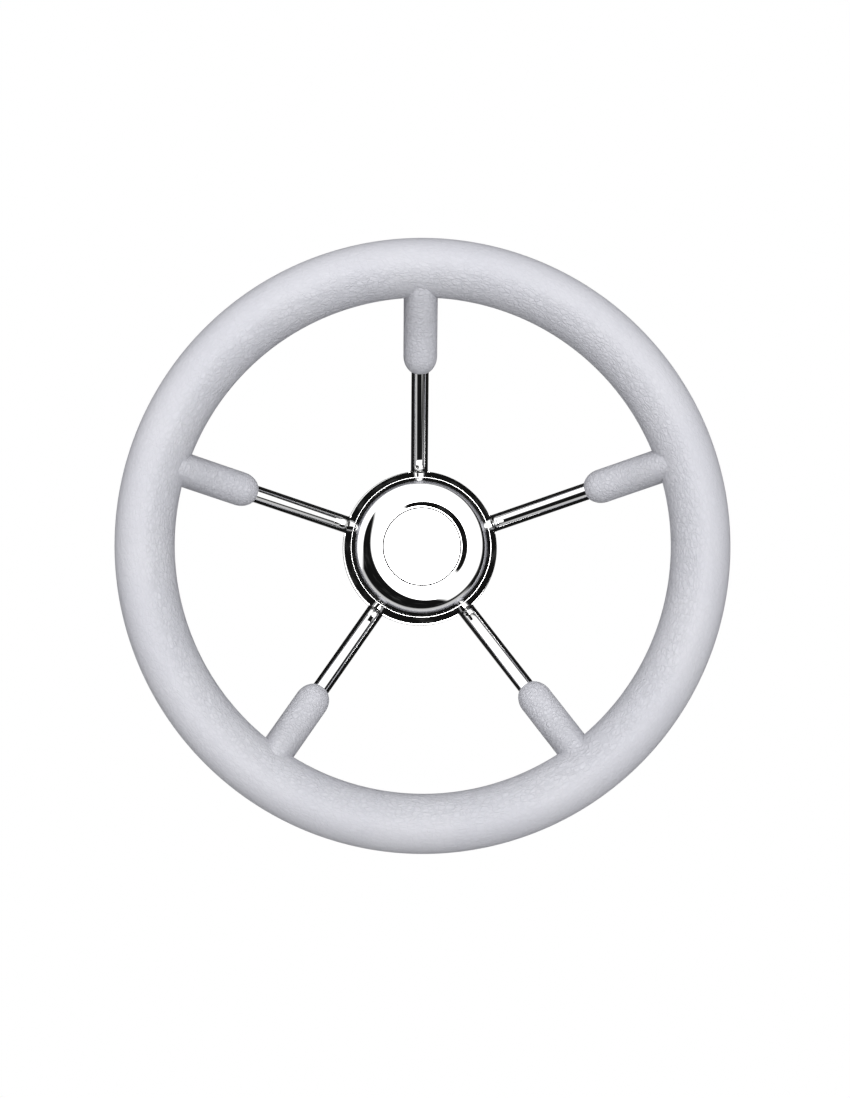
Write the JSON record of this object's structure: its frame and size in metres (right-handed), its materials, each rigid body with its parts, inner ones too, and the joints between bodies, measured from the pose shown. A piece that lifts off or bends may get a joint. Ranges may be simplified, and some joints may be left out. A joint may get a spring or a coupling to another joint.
{
  "type": "ship steering wheel",
  "caption": "Foam-covered ring on straight polished rods that rise from a set-back bowl-shaped hub, with a snap-in cap over a tapered shaft bore.",
  "frame": {"origin": "centre of the boss's rear face, at the large end of the tapered bore", "axes": "+Y along the wheel's axis towards the rear, the way the helm shaft leaves; -Y is the front; +Z along the upright spoke"},
  "size_m": [0.35, 0.109, 0.35],
  "materials": {
    "grip_foam": "white self-skinning polyurethane foam with a fine leather grain",
    "rod_steel": "mirror-polished stainless steel rod",
    "hub_steel": "mirror-polished turned stainless steel",
    "cap_steel": "mirror-polished pressed stainless steel",
    "disc_steel": "mirror-polished plain disc",
    "weld_steel": "ground and polished weld",
    "ring_steel": "mill-finish stainless bar, hidden in the foam",
    "boss_aluminium": "turned and anodised",
    "screw_steel": "plain stainless socket screw",
    "nut_steel": "plain stainless",
    "seal_rubber": "black nitrile rubber",
    "tape_foam": "black double-sided foam tape"
  },
  "bodies": {
    "wheel": {"rim_grip": "grip_foam", "rim_ring": "ring_steel", "ring_seam_weld": "ring_steel", "rim_weld_beads": "ring_steel", "hub_dish": "hub_steel", "hub_boss": "boss_aluminium", "boss_screws": "screw_steel", "spring_washers": "screw_steel", "shaft_washer": "nut_steel", "shaft_nut": "nut_steel", "spoke_1": "rod_steel", "spoke_2": "rod_steel", "spoke_3": "rod_steel", "spoke_4": "rod_steel", "spoke_5": "rod_steel", "hub_weld_bead_1": "weld_steel", "hub_weld_bead_2": "weld_steel", "hub_weld_bead_3": "weld_steel", "hub_weld_bead_4": "weld_steel", "hub_weld_bead_5": "weld_steel"},
    "cap": {"hub_cap": "cap_steel", "cap_disc": "disc_steel", "disc_tape": "tape_foam", "cap_o_ring": "seal_rubber"}
  },
  "joints": [
    {"name": "cap_pull", "type": "slide", "parent": "wheel", "child": "cap", "axis": [0, -1, 0], "range_m": [0, 0.09]}
  ]
}
